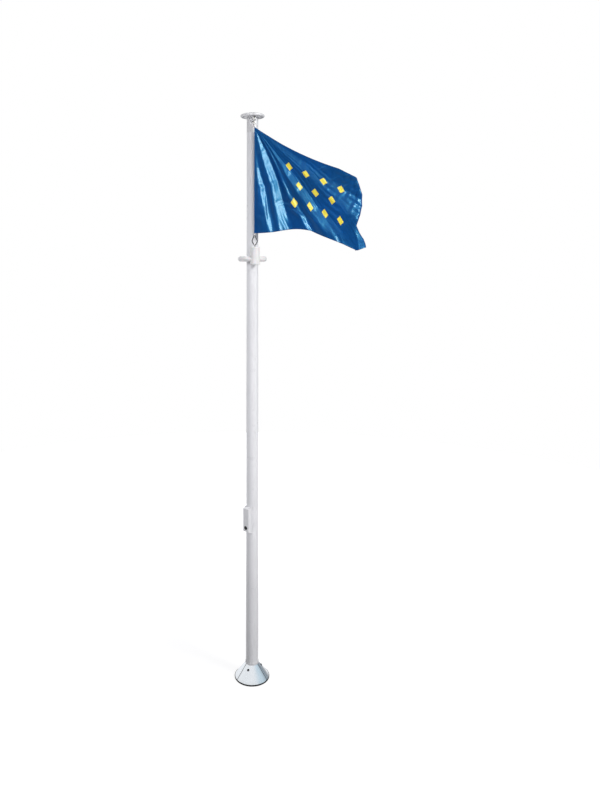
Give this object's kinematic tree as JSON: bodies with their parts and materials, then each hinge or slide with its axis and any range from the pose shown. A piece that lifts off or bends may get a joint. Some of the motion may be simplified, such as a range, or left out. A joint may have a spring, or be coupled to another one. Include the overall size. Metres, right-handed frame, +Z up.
{
  "type": "flagpole",
  "caption": "Tapered white flagpole with a cone base cover, lockable halyard door, turning mushroom truck, blue flag and a counterweight on a guide ring.",
  "frame": {"origin": "centre of the base flange's underside, on the pole's axis, at ground level", "axes": "+Z up along the pole, -Y towards the viewer's side, +X the way the flag blows"},
  "size_m": [1.0607, 0.329, 5],
  "materials": {
    "white_lacquer": "gloss",
    "polished_sheet": "polished",
    "galvanised_steel": "satin",
    "cast_aluminium": "satin",
    "white_plastic": "gloss",
    "black_rubber": "matte",
    "dark_steel": "satin",
    "stainless_steel": "gloss",
    "rope": "matte",
    "flag_cloth": "satin"
  },
  "bodies": {
    "pole": {"base_flange": "galvanised_steel", "pole_socket": "galvanised_steel", "socket_gussets": "galvanised_steel", "pole_tube": "white_lacquer", "cone_sector_front": "polished_sheet", "cone_sector_right": "polished_sheet", "cone_sector_left": "polished_sheet", "cover_screws": "dark_steel", "cone_collar": "cast_aluminium", "rim_seal": "black_rubber", "door_frame": "white_lacquer", "hinge_pins": "stainless_steel", "halyard_cleat": "cast_aluminium", "halyard_hitch": "rope", "halyard_inner": "rope", "truck_bearing": "white_plastic"},
    "truck": {"truck_neck": "cast_aluminium", "truck_cap": "cast_aluminium", "cap_nut": "stainless_steel", "pulley": "white_plastic", "pulley_pin": "stainless_steel", "halyard_bend": "rope"},
    "flag_set": {"halyard_outer": "rope", "halyard_knot": "rope", "top_hook": "white_plastic", "flag_loop_top": "rope", "flag": "flag_cloth", "flag_loop_bottom": "rope", "karabiner_body": "dark_steel", "weight_eye": "stainless_steel", "weight_body": "white_plastic", "weight_band": "white_plastic", "guide_ring": "white_plastic"},
    "gate": {"karabiner_gate": "dark_steel"},
    "door": {"door_cover": "white_lacquer", "lock_housing": "dark_steel"},
    "lock": {"lock_plug": "stainless_steel", "lock_cam": "stainless_steel"}
  },
  "joints": [
    {"name": "truck_turn", "type": "hinge", "parent": "pole", "child": "truck", "pos_m": [0, 0, 4.87], "axis": [0, 0, 1], "continuous": true},
    {"name": "flag_hoist", "type": "slide", "parent": "truck", "child": "flag_set", "axis": [0, 0, 1], "range_m": [-2.07, 0], "deforming": ["halyard_outer"]},
    {"name": "gate_swing", "type": "hinge", "parent": "flag_set", "child": "gate", "pos_m": [0.02533, -0.07199, 4.05354], "axis": [-0.2203, 0.9544, -0.2014], "range_deg": [0, 22], "stiffness_Nm_per_rad": 0.01, "springref_deg": -28.65},
    {"name": "door_swing", "type": "hinge", "parent": "pole", "child": "door", "pos_m": [-0.07088, -0.01431, 1.607], "axis": [0, 0, -1], "range_deg": [0, 110]},
    {"name": "lock_turn", "type": "hinge", "parent": "door", "child": "lock", "pos_m": [-0.05091, -0.05091, 1.535], "axis": [-0.7071, -0.7071, 0], "range_deg": [0, 90]}
  ]
}
